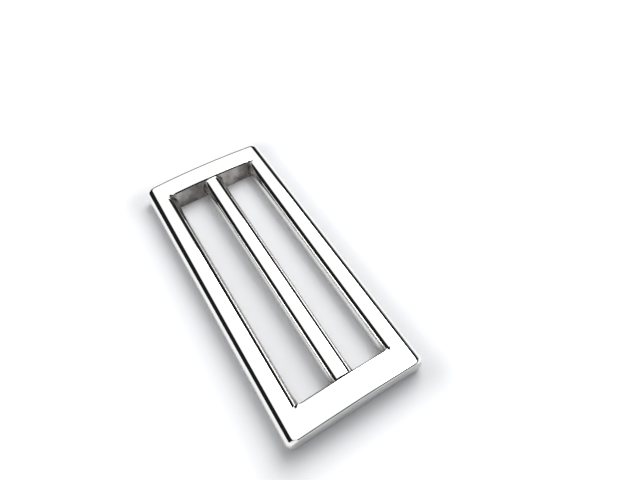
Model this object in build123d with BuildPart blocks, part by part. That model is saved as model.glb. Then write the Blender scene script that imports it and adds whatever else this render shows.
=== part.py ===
from build123d import *
import os

# Three-bar strap slider. Two end blocks carry two side rails and a centre bar.
# X runs along the bars, Y across them, Z up. The origin is the centre of the footprint.

# Driving dimensions, millimetres
strap_width = 50.0         # clear length of both slots, for 50 mm webbing
end_block_length = 4.7     # X length of each end block
overall_width = 26.2       # Y, over the bulging flanks
thickness = 4.7            # Z, at the middle of the crowned top
crown_radius = 150.0       # the top is very slightly arched across the width
rail_width = 4.9           # Y width of each side rail
centre_bar_width = 4.1     # Y width of the centre bar
centre_bar_recess = 0.2    # the centre bar lies this much inside both faces
end_edge_radius = 0.3      # edge break round the outer end faces

# Tenons on the bars and their blind sockets in the end blocks
tenon_length = 2.6
tenon_width = 2.4
tenon_height = 2.0
tenon_edge_radius = 0.4
braze_gap = 0.05           # filler gap on every side of a tenon

# Worked out from the above
half_width = overall_width / 2
half_strap = strap_width / 2
rail_y = half_width - rail_width / 2
rail_inner_y = half_width - rail_width
crown_fall_at_flank = half_width**2 / (2 * crown_radius)
crown_fall_at_slot = rail_inner_y**2 / (2 * crown_radius)
flank_height = thickness - crown_fall_at_flank
slot_side_height = thickness - crown_fall_at_slot
tenon_z = flank_height / 2
centre_bar_height = thickness - 2 * centre_bar_recess

# The round edges share the height and width of their wall
flank_top_radius = min(0.53 * flank_height, 0.45 * rail_width)
flank_bottom_radius = min(0.40 * flank_height, 0.40 * rail_width)
shoulder_top_radius = min(0.49 * slot_side_height, 0.45 * rail_width)
shoulder_bottom_radius = min(0.40 * slot_side_height, 0.36 * rail_width)
centre_bar_radius = 0.43 * min(centre_bar_width, centre_bar_height)

bar_centres = {"left_side_rail": -rail_y, "centre_bar": 0.0, "right_side_rail": rail_y}


def frame_section():
    """Outline across the slider: arched top, bulging flanks, flat bottom."""
    with BuildSketch() as section:
        with BuildLine():
            crown = ThreePointArc(
                (-half_width, flank_height), (0, thickness), (half_width, flank_height)
            )
            Polyline(crown @ 1, (half_width, 0), (-half_width, 0), crown @ 0)
        make_face()
        fillet(section.vertices().group_by(Axis.Y)[-1], flank_top_radius)
        fillet(section.vertices().group_by(Axis.Y)[0], flank_bottom_radius)
    return section.sketch


def rail_section():
    """The frame outline cut down to the right rail, with its slot side rounded."""
    with BuildSketch() as section:
        add(frame_section())
        with Locations((rail_y, thickness / 2)):
            Rectangle(rail_width, 2 * thickness, mode=Mode.INTERSECT)
        slot_side = section.vertices().group_by(Axis.X)[0].sort_by(Axis.Y)
        fillet(slot_side[-1], shoulder_top_radius)
        slot_side = section.vertices().group_by(Axis.X)[0].sort_by(Axis.Y)
        fillet(slot_side[0], shoulder_bottom_radius)
    return section.sketch


def centre_bar_section():
    """Round-edged bar, as high as the frame less the recess on both faces."""
    with BuildSketch() as section:
        with Locations((0, thickness / 2)):
            RectangleRounded(centre_bar_width, centre_bar_height, centre_bar_radius)
    return section.sketch


def tenon_section(y, clearance=0.0):
    """A tenon's outline at a bar, or its socket's when a clearance is given."""
    with BuildSketch() as section:
        with Locations((y, tenon_z)):
            RectangleRounded(
                tenon_width + 2 * clearance,
                tenon_height + 2 * clearance,
                tenon_edge_radius + clearance,
            )
    return section.sketch


def end_block(name, side):
    """One end block, from the slots' end out to the flat end face; side is +1 or -1."""
    inner_plane = Plane.YZ.offset(side * half_strap)
    with BuildPart() as block:
        with BuildSketch(inner_plane):
            add(frame_section())
        extrude(amount=side * end_block_length)
        end_face = block.faces().filter_by(Axis.X).sort_by(Axis.X)[-1 if side > 0 else 0]
        fillet(end_face.edges(), end_edge_radius)
        with BuildSketch(inner_plane):
            for y in bar_centres.values():
                add(tenon_section(y, braze_gap))
        extrude(amount=side * (tenon_length + braze_gap), mode=Mode.SUBTRACT)
    block.part.label = name
    export_step(block.part, f"parts/{name}.step")


def bar(name, section, y):
    """One bar between the end blocks, with a tenon on each end."""
    with BuildPart() as rod:
        with BuildSketch(Plane.YZ.offset(-half_strap)):
            add(section)
        extrude(amount=strap_width)
        for side in (-1, 1):
            with BuildSketch(Plane.YZ.offset(side * half_strap)):
                add(tenon_section(y))
            extrude(amount=side * tenon_length)
    rod.part.label = name
    export_step(rod.part, f"parts/{name}.step")


os.makedirs("parts", exist_ok=True)

end_block("near_end_block", 1)
end_block("far_end_block", -1)
right_rail = rail_section()
left_rail = right_rail.mirror(Plane.YZ)
bar("right_side_rail", right_rail, bar_centres["right_side_rail"])
bar("left_side_rail", left_rail, bar_centres["left_side_rail"])
bar("centre_bar", centre_bar_section(), bar_centres["centre_bar"])
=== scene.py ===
import math

import bmesh
import bpy
from mathutils import Matrix, Vector


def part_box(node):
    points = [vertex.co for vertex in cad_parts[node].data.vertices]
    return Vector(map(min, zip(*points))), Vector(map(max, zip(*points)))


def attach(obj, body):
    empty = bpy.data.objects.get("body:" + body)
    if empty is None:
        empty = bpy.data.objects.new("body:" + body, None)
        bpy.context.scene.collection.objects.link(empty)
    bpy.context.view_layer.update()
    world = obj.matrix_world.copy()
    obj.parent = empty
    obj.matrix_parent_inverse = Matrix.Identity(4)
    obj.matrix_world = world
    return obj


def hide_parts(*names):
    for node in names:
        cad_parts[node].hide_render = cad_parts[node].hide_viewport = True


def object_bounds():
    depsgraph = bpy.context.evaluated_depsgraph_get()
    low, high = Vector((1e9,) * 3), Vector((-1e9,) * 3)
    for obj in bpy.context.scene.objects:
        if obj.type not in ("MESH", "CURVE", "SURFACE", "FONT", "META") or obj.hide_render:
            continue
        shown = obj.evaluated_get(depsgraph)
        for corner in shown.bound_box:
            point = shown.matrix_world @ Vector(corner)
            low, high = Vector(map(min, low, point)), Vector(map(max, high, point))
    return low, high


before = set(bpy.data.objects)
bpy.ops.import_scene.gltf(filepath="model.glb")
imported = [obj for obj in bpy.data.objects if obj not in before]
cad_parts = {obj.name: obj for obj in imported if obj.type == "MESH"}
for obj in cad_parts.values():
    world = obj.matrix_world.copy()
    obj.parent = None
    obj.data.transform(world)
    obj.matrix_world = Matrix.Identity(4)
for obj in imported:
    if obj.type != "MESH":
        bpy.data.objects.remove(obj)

cad_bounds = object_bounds()

# Every length is in metres, in the frame's own axes: X along the bars, Y across, Z up.
MM = 0.001

# ---- Sizes read from the frame -------------------------------------------------
HALF_LENGTH, HALF_WIDTH, THICKNESS = cad_bounds[1]
rail_low, rail_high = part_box("right_side_rail")
RAIL_WIDTH = rail_high[1] - rail_low[1]
bar_low, bar_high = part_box("centre_bar")
CENTRE_BAR_WIDTH = bar_high[1] - bar_low[1]
CENTRE_BAR_LOW = bar_low[2]
CENTRE_BAR_HIGH = bar_high[2]
HALF_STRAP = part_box("near_end_block")[0][0]

# ---- Sizes of the edge breaks and fillets, read from the photograph ------------
NEAR_EDGE_RADIUS = 0.32 * MM     # edge break along the top and bottom of the near end face
FAR_EDGE_RADIUS = 0.80 * MM      # the same at the far end, which is rounder
CORNER_RADIUS = 0.95 * MM        # the same at the flanks, so the corners are round from above
SLOT_EDGE_RADIUS = 0.32 * MM     # edge break of the slot walls, between the rails
JUNCTION_RADIUS = 0.24 * MM      # fillet where a bar meets a slot wall
EDGE_FADE_LENGTH = 0.8 * MM      # over which the slot's edge break fades out at a rail
EDGE_FADE_OVERLAP = 0.5 * MM     # how far past the rail's inner side the fade ends
SHADED_CORNER_LENGTH = 2.5 * MM     # length of the painted shade and duller finish on the bars' sides at the slots' inside corners

# ---- Sections of the frame and bars, as in the CAD model -----------------------
CROWN_RADIUS = 150 * MM
RAIL_INNER_Y = HALF_WIDTH - RAIL_WIDTH
FLANK_HEIGHT = THICKNESS - HALF_WIDTH**2 / (2 * CROWN_RADIUS)
SLOT_SIDE_HEIGHT = THICKNESS - RAIL_INNER_Y**2 / (2 * CROWN_RADIUS)
FLANK_TOP_RADIUS = 0.53 * FLANK_HEIGHT
FLANK_BOTTOM_RADIUS = 0.40 * FLANK_HEIGHT
SHOULDER_TOP_RADIUS = 0.49 * SLOT_SIDE_HEIGHT
SHOULDER_BOTTOM_RADIUS = 0.36 * RAIL_WIDTH
CENTRE_BAR_RADIUS = 0.43 * CENTRE_BAR_WIDTH
CORNER_FADE_LENGTH = 0.75 * FLANK_TOP_RADIUS    # over which an end's edge break grows at a flank

# ---- Fineness of the meshes ----------------------------------------------------
ARC_STEPS = 28                   # round each arc of a section
EDGE_STEPS = 8                   # round an edge break or fillet
LENGTH_STEPS = 60                # along a bar
BLOCK_STEPS = 6                  # along an end block, to keep its shading flat
CROWN_SPACING = 0.5 * MM         # between points along the crown
MERGE_DISTANCE = 0.0001 * MM
SHARP_ANGLE_DEG = 25

# ---- Finish of the metal -------------------------------------------------------
# A pattern is a noise's scale, detail, and stretch along X, Y and Z. A range is two values of
# the noise and the colours that they become. A fade is written as (none, full).
WAVES_PATTERN = (70, 1.0, (0.6, 1, 1))
BAR_WAVE_HEIGHT = 0.012 * MM
BLOCK_WAVE_HEIGHT = 0.010 * MM
TINT_PATTERN = (240, 3.0, (1, 1, 1))
TINT_RANGE = (0.3, 0.7, (0.87, 0.86, 0.835), (0.92, 0.915, 0.90))
SMUDGE_PATTERN = (180, 4.0, (0.4, 1, 1))
SMUDGE_ROUGHNESS_RANGE = (0.35, 0.75, (0.035,) * 3, (0.085,) * 3)

# Painted shade: the bars' sides darken near the slots' inside corners, where they also get a duller
# finish.
CORNER_SHADE_PATTERN = (700, 4.0, (1, 1, 1))
CORNER_SHADE_RANGE = (0.35, 0.7, (0.10, 0.09, 0.08), (0.36, 0.34, 0.32))
CORNER_ROUGHNESS = (0.35, 0.35, 0.35, 1)
CORNER_SHADE_FADE = (0.80, 0.60)        # by the share of Z in a normal: the bars' tops get neither the painted shade nor the duller finish

MOTTLING_PATTERN = (420, 4.0, (1, 1, 0.7))
WALL_RANGE = (0.35, 0.68, (0.24, 0.22, 0.205), (0.56, 0.54, 0.52))
GRAIN_PATTERN = (900, 3.0, (1, 0.12, 1))
END_FACE_RANGE = (0.3, 0.7, (0.60, 0.615, 0.61), (0.74, 0.75, 0.74))
SATIN_ROUGHNESS_RANGE = (0.3, 0.7, (0.46,) * 3, (0.34,) * 3)
SATIN_FACING = 0.9               # share of X in a normal, above which a block's face is satin
PIT_DEPTH = 0.08 * MM
PIT_STRENGTH = 0.6
# Painted reflection: colour of the dark line along the slot walls' edge breaks.
EDGE_REFLECTION_COLOUR = (0.035, 0.032, 0.03, 1)
EDGE_REFLECTION_INNER_FADE = (0.99, 0.94)    # by the share of X in a normal, from the wall outwards
EDGE_REFLECTION_OUTER_FADE = (0.20, 0.38)

# ---- Floor ---------------------------------------------------------------------
FLOOR_HALF_SIZE = 4000 * MM
FLOOR_DROP = 0.02 * MM           # keeps the floor clear of the base
FLOOR_COLOUR = (0.88, 0.885, 0.905, 1)
FLOOR_GLOW = 0.30                # painted light: whitens the seen floor outside the slider and its shadow, so the floor near the slider stays darker
GLOW_START = 0.8 * MM            # distance from the slider where the glow begins
GLOW_END = 8 * MM

# ---- Studio --------------------------------------------------------------------
# The heights and fades of the studio are shares of a unit vector.
STUDIO_COLOUR = (0.985, 0.99, 1.0, 1)
DOME_STRENGTH = 0.88
MIRRORED_LIFT = 0.30             # extra strength of the ceiling in the metal's reflections
DARK_TOP_DEG = 40                # elevation below which the surround is dark
DARK_SOFT_DEG = 5
DARK_LEVEL = 0.012
FAR_LIFT = 0.03                  # lowers the ceiling's edge towards the far end
FAR_FADE = (-0.25, -0.6)
NEAR_DROP = 0.27                 # raises the ceiling's edge towards the near end
NEAR_FADE = (0.06, 0.32)
LOW_STRIP_DEG = (4, 10)          # pale strip low on the right
LOW_STRIP_SOFTNESS = 0.02
LOW_STRIP_FADE = (0.1, 0.4)
LOW_STRIP_LEVEL = 0.55
FILL_LEVEL = 0.75                # pale patch behind the camera, at the near left
FILL_LEFT_FADE = (-0.30, -0.50)
FILL_NEAR_FADE = (0.20, 0.40)
KEY_DIRECTION = Vector((-0.32, 0.58, 0.95)).normalized()
KEY_DISTANCE = 350 * MM
KEY_SIZE = 220 * MM
KEY_POWER = 0.70                 # watts

# ---- Camera, solved from the photograph ----------------------------------------
CAMERA_PLACE = Vector((47.84, -17.60, 83.10)) * MM
CAMERA_TARGET = Vector((0.54, 10.78, 4.46)) * MM
CAMERA_ROLL = -0.0208            # radians
CAMERA_LENS = 28.45              # focal length and sensor width are in Blender's millimetres
CAMERA_SENSOR = 36
CAMERA_CLIP_START = 5 * MM


# ---- Outlines across the slider ------------------------------------------------
def arc(centre_y, centre_z, radius, start_deg, end_deg):
    """Points along an arc in the Y-Z plane, both ends included."""
    points = []
    for step in range(ARC_STEPS + 1):
        angle = math.radians(start_deg + (end_deg - start_deg) * step / ARC_STEPS)
        points.append((centre_y + radius * math.cos(angle), centre_z + radius * math.sin(angle)))
    return points


def crown_z(y):
    """Height of the arched top at y."""
    return THICKNESS - y * y / (2 * CROWN_RADIUS)


def rounded_outline(y_low, y_high, radii):
    """Closed outline under the crown. radii: top right, top left, bottom left, bottom right."""
    top_right, top_left, bottom_left, bottom_right = radii
    right_top = crown_z(y_high - top_right) - top_right
    left_top = crown_z(y_low + top_left) - top_left
    outline = arc(y_high - bottom_right, bottom_right, bottom_right, -90, 0)
    outline += arc(y_high - top_right, right_top, top_right, 0, 90)
    span = (y_high - top_right) - (y_low + top_left)
    crown_steps = max(2, round(span / CROWN_SPACING))
    for step in range(1, crown_steps):
        y = y_high - top_right - span * step / crown_steps
        outline.append((y, crown_z(y)))
    outline += arc(y_low + top_left, left_top, top_left, 90, 180)
    outline += arc(y_low + bottom_left, bottom_left, bottom_left, 180, 270)
    return outline


def frame_outline():
    """Section of an end block, from flank to flank."""
    radii = (FLANK_TOP_RADIUS, FLANK_TOP_RADIUS, FLANK_BOTTOM_RADIUS, FLANK_BOTTOM_RADIUS)
    return rounded_outline(-HALF_WIDTH, HALF_WIDTH, radii)


def right_rail_outline():
    """Section of the right side rail."""
    radii = (FLANK_TOP_RADIUS, SHOULDER_TOP_RADIUS, SHOULDER_BOTTOM_RADIUS, FLANK_BOTTOM_RADIUS)
    return rounded_outline(RAIL_INNER_Y, HALF_WIDTH, radii)


def centre_bar_outline():
    """Section of the centre bar, which lies inside both faces of the frame."""
    half = CENTRE_BAR_WIDTH / 2
    radius = CENTRE_BAR_RADIUS
    outline = arc(half - radius, CENTRE_BAR_LOW + radius, radius, -90, 0)
    outline += arc(half - radius, CENTRE_BAR_HIGH - radius, radius, 0, 90)
    outline += arc(radius - half, CENTRE_BAR_HIGH - radius, radius, 90, 180)
    outline += arc(radius - half, CENTRE_BAR_LOW + radius, radius, 180, 270)
    return outline


# ---- Meshes --------------------------------------------------------------------
def loft(name, loops):
    """A closed skin through loops of (x, y, z) points, with a flat cap on both ends."""
    mesh_maker = bmesh.new()
    rings = [[mesh_maker.verts.new(point) for point in loop] for loop in loops]
    count = len(rings[0])
    for ring, next_ring in zip(rings, rings[1:]):
        for index in range(count):
            after = (index + 1) % count
            mesh_maker.faces.new((ring[index], ring[after], next_ring[after], next_ring[index]))
    mesh_maker.faces.new(reversed(rings[0]))
    mesh_maker.faces.new(rings[-1])
    bmesh.ops.remove_doubles(mesh_maker, verts=mesh_maker.verts, dist=MERGE_DISTANCE)
    bmesh.ops.recalc_face_normals(mesh_maker, faces=mesh_maker.faces)
    mesh = bpy.data.meshes.new(name)
    mesh_maker.to_mesh(mesh)
    mesh_maker.free()
    piece = bpy.data.objects.new(name, mesh)
    bpy.context.scene.collection.objects.link(piece)
    for polygon in mesh.polygons:
        polygon.use_smooth = True
    mesh.set_sharp_from_angle(angle=math.radians(SHARP_ANGLE_DEG))
    return piece


def outward_normals(outline):
    """The outline's outward direction at each of its points."""
    normals = []
    count = len(outline)
    for index in range(count):
        before = Vector(outline[index - 1])
        after = Vector(outline[(index + 1) % count])
        along = (after - before).normalized()
        normals.append(Vector((along.y, -along.x)))
    return normals


def blend(low_value, high_value, share):
    """A smooth step from low_value to high_value as share goes from 0 to 1."""
    share = min(1.0, max(0.0, share))
    return low_value + (high_value - low_value) * share * share * (3 - 2 * share)


def bar_mesh(name, outline, flare):
    """A bar between the end blocks. flare(normal) says how much of the fillet each side gets."""
    normals = outward_normals(outline)
    angles = [math.radians(90 * step / EDGE_STEPS) for step in range(EDGE_STEPS + 1)]
    offsets = [JUNCTION_RADIUS * (1 - math.cos(angle)) for angle in angles]
    middle_half = HALF_STRAP - JUNCTION_RADIUS
    places = [-HALF_STRAP + offset for offset in offsets]
    places += [-middle_half + 2 * middle_half * step / LENGTH_STEPS for step in range(1, LENGTH_STEPS)]
    places += [HALF_STRAP - offset for offset in reversed(offsets)]
    loops = []
    for x in places:
        into_fillet = max(0.0, abs(x) - middle_half)
        growth = JUNCTION_RADIUS - math.sqrt(max(0.0, JUNCTION_RADIUS**2 - into_fillet**2))
        loop = []
        for (y, z), normal in zip(outline, normals):
            outwards = growth * flare(normal)
            loop.append((x, y + normal.x * outwards, z + normal.y * outwards))
        loops.append(loop)
    return loft(name, loops)


def end_block_mesh(name, side, edge_radius):
    """An end block: slot wall with a small edge break, full section, rounded end face."""
    outline = frame_outline()
    normals = outward_normals(outline)
    slot_radii = []
    end_radii = []
    for y, z in outline:
        past_rail = (RAIL_INNER_Y + EDGE_FADE_OVERLAP - abs(y)) / EDGE_FADE_LENGTH
        slot_radii.append(blend(0.0, SLOT_EDGE_RADIUS, past_rail))
        on_flank = (abs(y) - (HALF_WIDTH - FLANK_TOP_RADIUS)) / CORNER_FADE_LENGTH
        end_radii.append(blend(edge_radius, CORNER_RADIUS, on_flank))

    def loop(radii, angle_deg, face_x, away):
        """Points of the edge break at one angle; away points from the face into the block."""
        angle = math.radians(angle_deg)
        points = []
        for (y, z), normal, radius in zip(outline, normals, radii):
            x = face_x + away * radius * (1 - math.cos(angle))
            inwards = radius * (1 - math.sin(angle))
            points.append((x, y - normal.x * inwards, z - normal.y * inwards))
        return points

    angles = [90 * step / EDGE_STEPS for step in range(EDGE_STEPS + 1)]
    loops = [loop(slot_radii, angle, side * HALF_STRAP, side) for angle in angles]
    # The full section starts and ends just clear of the edge breaks.
    body_start = HALF_STRAP + 2 * SLOT_EDGE_RADIUS
    body_end = HALF_LENGTH - 1.2 * CORNER_RADIUS
    for step in range(BLOCK_STEPS + 1):
        x = side * (body_start + (body_end - body_start) * step / BLOCK_STEPS)
        loops.append([(x, y, z) for y, z in outline])
    loops += [loop(end_radii, angle, side * HALF_LENGTH, -side) for angle in reversed(angles)]
    return loft(name, loops)


def rail_flare(slot_side):
    """The fillet lies on the slot side only, because the flank runs on over the end block."""
    return lambda normal: max(0.0, slot_side * normal.x)


def centre_bar_flare(normal):
    """The fillet goes all round, and brings the top and bottom level with the end blocks."""
    return max(abs(normal.x), CENTRE_BAR_LOW / JUNCTION_RADIUS)


def mirrored(outline):
    """The same outline on the other side of the slider, still anticlockwise."""
    return [(-y, z) for y, z in reversed(outline)]


# ---- Materials -----------------------------------------------------------------
def new_material(name):
    """An empty node material, with its nodes and links."""
    material = bpy.data.materials.new(name)
    material.use_nodes = True
    nodes = material.node_tree.nodes
    nodes.clear()
    return material, nodes, material.node_tree.links


def noise(nodes, links, coordinates, scale, detail, stretch):
    """A noise texture over the object's own coordinates."""
    mapping = nodes.new("ShaderNodeMapping")
    mapping.inputs["Scale"].default_value = stretch
    links.new(coordinates, mapping.inputs["Vector"])
    texture = nodes.new("ShaderNodeTexNoise")
    texture.inputs["Scale"].default_value = scale
    texture.inputs["Detail"].default_value = detail
    links.new(mapping.outputs["Vector"], texture.inputs["Vector"])
    return texture.outputs["Fac"]


def ramp(nodes, links, value, low_value, high_value, low_colour, high_colour):
    """Maps a value onto a blend of two colours."""
    colours = nodes.new("ShaderNodeValToRGB")
    colours.color_ramp.elements[0].position = low_value
    colours.color_ramp.elements[0].color = (*low_colour, 1)
    colours.color_ramp.elements[1].position = high_value
    colours.color_ramp.elements[1].color = (*high_colour, 1)
    links.new(value, colours.inputs["Fac"])
    return colours.outputs["Color"]


def math_node(nodes, links, operation, *values):
    """One operation on one to three values, each a socket or a number."""
    node = nodes.new("ShaderNodeMath")
    node.operation = operation
    for socket, value in zip(node.inputs, values):
        if isinstance(value, (int, float)):
            socket.default_value = value
        else:
            links.new(value, socket)
    return node.outputs["Value"]


def smooth_step(nodes, links, value, start, end):
    """0 at start and 1 at end, with a smooth rise between them."""
    step = nodes.new("ShaderNodeMapRange")
    step.interpolation_type = "SMOOTHSTEP"
    step.inputs["From Min"].default_value = start
    step.inputs["From Max"].default_value = end
    links.new(value, step.inputs["Value"])
    return step.outputs["Result"]


def components(nodes, links, vector):
    """The X, Y and Z of a vector."""
    node = nodes.new("ShaderNodeSeparateXYZ")
    links.new(vector, node.inputs["Vector"])
    return node.outputs


def mix(nodes, links, factor, first, second):
    """A blend of two colours, each a socket or a fixed RGBA."""
    node = nodes.new("ShaderNodeMix")
    node.data_type = "RGBA"
    links.new(factor, node.inputs["Factor"])
    for socket_name, value in (("A", first), ("B", second)):
        if isinstance(value, tuple):
            node.inputs[socket_name].default_value = value
        else:
            links.new(value, node.inputs[socket_name])
    return node.outputs["Result"]


def bump(nodes, links, height, strength, distance):
    """A relief, which can be laid over another by its Normal input."""
    node = nodes.new("ShaderNodeBump")
    node.inputs["Strength"].default_value = strength
    node.inputs["Distance"].default_value = distance
    links.new(height, node.inputs["Height"])
    return node


def shaded_dull_corners(nodes, links, coordinates, colour, roughness, normal):
    """Dulls a bar's sides near the slots' ends and darkens them with painted shade. Returns the new
    look.
    """
    place = components(nodes, links, coordinates)
    along = math_node(nodes, links, "ABSOLUTE", place["X"])
    shaded_share = smooth_step(nodes, links, along, HALF_STRAP - SHADED_CORNER_LENGTH, HALF_STRAP)
    object_normal = nodes.new("ShaderNodeTexCoord").outputs["Normal"]
    facing = components(nodes, links, object_normal)["Z"]
    below_top = smooth_step(nodes, links, facing, *CORNER_SHADE_FADE)
    shaded_share = math_node(nodes, links, "MULTIPLY", shaded_share, below_top)
    across = math_node(nodes, links, "ABSOLUTE", place["Y"])
    rail_middle = RAIL_INNER_Y + RAIL_WIDTH / 2
    in_slot = smooth_step(nodes, links, across, rail_middle, RAIL_INNER_Y)
    shaded_share = math_node(nodes, links, "MULTIPLY", shaded_share, in_slot)

    # Painted shade: a dark, noisy colour on the bars' sides near the slots' inside corners.
    shade_noise = noise(nodes, links, coordinates, *CORNER_SHADE_PATTERN)
    shade_colour = ramp(nodes, links, shade_noise, *CORNER_SHADE_RANGE)
    colour = mix(nodes, links, shaded_share, colour, shade_colour)
    roughness = mix(nodes, links, shaded_share, roughness, CORNER_ROUGHNESS)
    return colour, roughness, normal


def satin_faces(nodes, links, coordinates, colour, roughness, normal):
    """Makes an end block's slot wall and end face satin, and paints a dark reflection along the slot
    walls' edges. Returns the new look.
    """
    object_normal = nodes.new("ShaderNodeTexCoord").outputs["Normal"]
    normal_x = components(nodes, links, object_normal)["X"]
    place_x = components(nodes, links, coordinates)["X"]
    facing = math_node(nodes, links, "ABSOLUTE", normal_x)
    is_satin = math_node(nodes, links, "GREATER_THAN", facing, SATIN_FACING)
    outward = math_node(nodes, links, "MULTIPLY", normal_x, place_x)
    is_slot_wall = math_node(nodes, links, "LESS_THAN", outward, 0.0)

    mottling = noise(nodes, links, coordinates, *MOTTLING_PATTERN)
    wall_colour = ramp(nodes, links, mottling, *WALL_RANGE)
    grain = noise(nodes, links, coordinates, *GRAIN_PATTERN)
    end_face_colour = ramp(nodes, links, grain, *END_FACE_RANGE)
    satin_colour = mix(nodes, links, is_slot_wall, end_face_colour, wall_colour)
    colour = mix(nodes, links, is_satin, colour, satin_colour)

    # Painted reflection: a dark line along the slot walls' edge breaks, in place of the dark surround
    # that they would reflect.
    painted_edge_reflection = smooth_step(nodes, links, facing, *EDGE_REFLECTION_OUTER_FADE)
    inner_fade = smooth_step(nodes, links, facing, *EDGE_REFLECTION_INNER_FADE)
    painted_edge_reflection = math_node(nodes, links, "MULTIPLY", painted_edge_reflection, inner_fade)
    painted_edge_reflection = math_node(nodes, links, "MULTIPLY", painted_edge_reflection, is_slot_wall)
    colour = mix(nodes, links, painted_edge_reflection, colour, EDGE_REFLECTION_COLOUR)

    satin_roughness = ramp(nodes, links, mottling, *SATIN_ROUGHNESS_RANGE)
    roughness = mix(nodes, links, is_satin, roughness, satin_roughness)
    pits = math_node(nodes, links, "MULTIPLY", mottling, is_satin)
    relief = bump(nodes, links, pits, PIT_STRENGTH, PIT_DEPTH)
    links.new(normal, relief.inputs["Normal"])
    return colour, roughness, relief.outputs["Normal"]


def polished_metal(name, wave_height, local_look):
    """Mirror-polished plated metal. The function passed in changes the look in places: satin faces,
    duller corners, painted shade and a painted reflection.
    """
    material, nodes, links = new_material(name)
    output = nodes.new("ShaderNodeOutputMaterial")
    shader = nodes.new("ShaderNodeBsdfPrincipled")
    shader.inputs["Metallic"].default_value = 1.0
    coordinates = nodes.new("ShaderNodeTexCoord").outputs["Object"]

    waves = noise(nodes, links, coordinates, *WAVES_PATTERN)
    normal = bump(nodes, links, waves, 1.0, wave_height).outputs["Normal"]
    tint = noise(nodes, links, coordinates, *TINT_PATTERN)
    colour = ramp(nodes, links, tint, *TINT_RANGE)
    smudges = noise(nodes, links, coordinates, *SMUDGE_PATTERN)
    roughness = ramp(nodes, links, smudges, *SMUDGE_ROUGHNESS_RANGE)
    look = local_look(nodes, links, coordinates, colour, roughness, normal)
    for value, socket_name in zip(look, ("Base Color", "Roughness", "Normal")):
        links.new(value, shader.inputs[socket_name])
    links.new(shader.outputs["BSDF"], output.inputs["Surface"])
    return material


# ---- The pieces ----------------------------------------------------------------
def add_piece(piece, node, material):
    """Puts a finished mesh in a CAD node's place."""
    piece.data.materials.append(material)
    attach(piece, "root")
    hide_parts(node)


bar_metal = polished_metal("polished_bar_metal", BAR_WAVE_HEIGHT, shaded_dull_corners)
block_metal = polished_metal("end_block_metal", BLOCK_WAVE_HEIGHT, satin_faces)

near_block = end_block_mesh("near_block", 1, NEAR_EDGE_RADIUS)
far_block = end_block_mesh("far_block", -1, FAR_EDGE_RADIUS)
right_rail = bar_mesh("right_rail", right_rail_outline(), rail_flare(-1))
left_rail = bar_mesh("left_rail", mirrored(right_rail_outline()), rail_flare(1))
middle_bar = bar_mesh("middle_bar", centre_bar_outline(), centre_bar_flare)

add_piece(near_block, "near_end_block", block_metal)
add_piece(far_block, "far_end_block", block_metal)
add_piece(right_rail, "right_side_rail", bar_metal)
add_piece(left_rail, "left_side_rail", bar_metal)
add_piece(middle_bar, "centre_bar", bar_metal)
for cad_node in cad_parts.values():
    cad_node.data.materials.clear()
    cad_node.data.materials.append(bar_metal)


# ---- The table -----------------------------------------------------------------
def make_floor():
    """A white table top. Its glow is painted light that grows away from the slider, so the floor near
    it stays darker and only the near shadow shows.
    """
    mesh_maker = bmesh.new()
    bmesh.ops.create_grid(mesh_maker, x_segments=1, y_segments=1, size=FLOOR_HALF_SIZE)
    mesh = bpy.data.meshes.new("table_top")
    mesh_maker.to_mesh(mesh)
    mesh_maker.free()
    table = bpy.data.objects.new("table_top", mesh)
    bpy.context.scene.collection.objects.link(table)
    table.location.z = -FLOOR_DROP
    material, nodes, links = new_material("white_table")
    output = nodes.new("ShaderNodeOutputMaterial")
    surface = nodes.new("ShaderNodeBsdfDiffuse")
    surface.inputs["Color"].default_value = FLOOR_COLOUR
    glow = nodes.new("ShaderNodeEmission")
    glow.inputs["Color"].default_value = (1.0, 1.0, 1.0, 1)
    path = nodes.new("ShaderNodeLightPath")
    seen = path.outputs["Is Camera Ray"]
    for ray in ("Is Glossy Ray", "Is Transmission Ray"):
        seen = math_node(nodes, links, "MAXIMUM", seen, path.outputs[ray])
    coordinates = nodes.new("ShaderNodeTexCoord").outputs["Object"]
    place = components(nodes, links, coordinates)
    beyond = nodes.new("ShaderNodeCombineXYZ")
    for axis, half_size in (("X", HALF_LENGTH), ("Y", HALF_WIDTH)):
        from_centre = math_node(nodes, links, "ABSOLUTE", place[axis])
        outside = math_node(nodes, links, "SUBTRACT", from_centre, half_size)
        links.new(math_node(nodes, links, "MAXIMUM", outside, 0.0), beyond.inputs[axis])
    distance = nodes.new("ShaderNodeVectorMath")
    distance.operation = "LENGTH"
    links.new(beyond.outputs["Vector"], distance.inputs[0])
    # Painted light: the glow fades in with distance from the slider, leaving the floor near it darker.
    away = smooth_step(nodes, links, distance.outputs["Value"], GLOW_START, GLOW_END)
    glow_here = math_node(nodes, links, "MULTIPLY", away, FLOOR_GLOW)
    strength = math_node(nodes, links, "MULTIPLY", seen, glow_here)
    links.new(strength, glow.inputs["Strength"])
    both = nodes.new("ShaderNodeAddShader")
    links.new(surface.outputs["BSDF"], both.inputs[0])
    links.new(glow.outputs["Emission"], both.inputs[1])
    links.new(both.outputs["Shader"], output.inputs["Surface"])
    mesh.materials.append(material)


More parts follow.
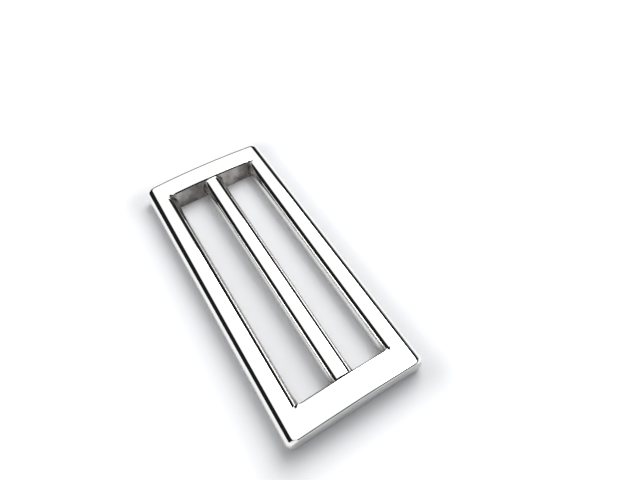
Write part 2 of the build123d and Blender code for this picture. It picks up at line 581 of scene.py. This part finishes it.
# ---- Light ---------------------------------------------------------------------
def make_studio():
    """A white ceiling over a dark, low surround, with two pale patches low down."""
    world = bpy.data.worlds.new("studio")
    bpy.context.scene.world = world
    world.use_nodes = True
    nodes = world.node_tree.nodes
    links = world.node_tree.links
    nodes.clear()
    output = nodes.new("ShaderNodeOutputWorld")
    background = nodes.new("ShaderNodeBackground")
    generated = nodes.new("ShaderNodeTexCoord").outputs["Generated"]
    direction = components(nodes, links, generated)

    far_side = smooth_step(nodes, links, direction["X"], *FAR_FADE)
    far_lift = math_node(nodes, links, "MULTIPLY", far_side, FAR_LIFT)
    near_side = smooth_step(nodes, links, direction["X"], *NEAR_FADE)
    near_drop = math_node(nodes, links, "MULTIPLY", near_side, NEAR_DROP)
    height = math_node(nodes, links, "ADD", direction["Z"], far_lift)
    height = math_node(nodes, links, "SUBTRACT", height, near_drop)
    ceiling_low = math.sin(math.radians(DARK_TOP_DEG - DARK_SOFT_DEG))
    ceiling_high = math.sin(math.radians(DARK_TOP_DEG))
    ceiling = smooth_step(nodes, links, height, ceiling_low, ceiling_high)

    low, high = (math.sin(math.radians(angle)) for angle in LOW_STRIP_DEG)
    soft = LOW_STRIP_SOFTNESS
    above = smooth_step(nodes, links, height, low - soft, low + soft)
    below = smooth_step(nodes, links, height, high + soft, high - soft)
    on_right = smooth_step(nodes, links, direction["Y"], *LOW_STRIP_FADE)
    strip = math_node(nodes, links, "MULTIPLY", above, below)
    strip = math_node(nodes, links, "MULTIPLY", strip, on_right)
    strip = math_node(nodes, links, "MULTIPLY", strip, LOW_STRIP_LEVEL)
    light = math_node(nodes, links, "MAXIMUM", ceiling, strip)

    to_left = smooth_step(nodes, links, direction["Y"], *FILL_LEFT_FADE)
    to_near = smooth_step(nodes, links, direction["X"], *FILL_NEAR_FADE)
    fill = math_node(nodes, links, "MULTIPLY", to_left, to_near)
    fill = math_node(nodes, links, "MULTIPLY", fill, FILL_LEVEL)
    light = math_node(nodes, links, "MAXIMUM", light, fill)

    path = nodes.new("ShaderNodeLightPath")
    is_glossy = path.outputs["Is Glossy Ray"]
    strength = math_node(nodes, links, "MULTIPLY_ADD", is_glossy, MIRRORED_LIFT, DOME_STRENGTH)
    level = math_node(nodes, links, "MULTIPLY", light, strength)
    level = math_node(nodes, links, "MAXIMUM", level, DARK_LEVEL)
    # The camera itself sees a plain white background.
    level = math_node(nodes, links, "MAXIMUM", level, path.outputs["Is Camera Ray"])
    background.inputs["Color"].default_value = STUDIO_COLOUR
    links.new(level, background.inputs["Strength"])
    links.new(background.outputs["Background"], output.inputs["Surface"])


def make_key_light():
    """One large soft lamp, high on the far right, which throws the shadows to the left."""
    lamp = bpy.data.lights.new("key_softbox", "AREA")
    lamp.shape = "SQUARE"
    lamp.size = KEY_SIZE
    lamp.energy = KEY_POWER
    key = bpy.data.objects.new("key_softbox", lamp)
    bpy.context.scene.collection.objects.link(key)
    key.location = KEY_DIRECTION * KEY_DISTANCE
    key.rotation_euler = KEY_DIRECTION.to_track_quat("Z", "Y").to_euler()


# ---- The photograph's view -----------------------------------------------------
def make_camera():
    """The photograph's camera, rolled slightly about its line of sight."""
    lens = bpy.data.cameras.new("photo_camera")
    lens.sensor_width = CAMERA_SENSOR
    lens.lens = CAMERA_LENS
    lens.clip_start = CAMERA_CLIP_START
    camera = bpy.data.objects.new("photo_camera", lens)
    bpy.context.scene.collection.objects.link(camera)
    forward = (CAMERA_TARGET - CAMERA_PLACE).normalized()
    level_right = forward.cross(Vector((0, 0, 1))).normalized()
    level_up = level_right.cross(forward)
    right = level_right * math.cos(CAMERA_ROLL) + level_up * math.sin(CAMERA_ROLL)
    up = right.cross(forward)
    rotation = Matrix((right, up, -forward)).transposed()
    camera.matrix_world = Matrix.Translation(CAMERA_PLACE) @ rotation.to_4x4()
    bpy.context.scene.camera = camera


make_floor()
make_studio()
make_key_light()
make_camera()
bpy.context.scene.view_settings.view_transform = "Standard"
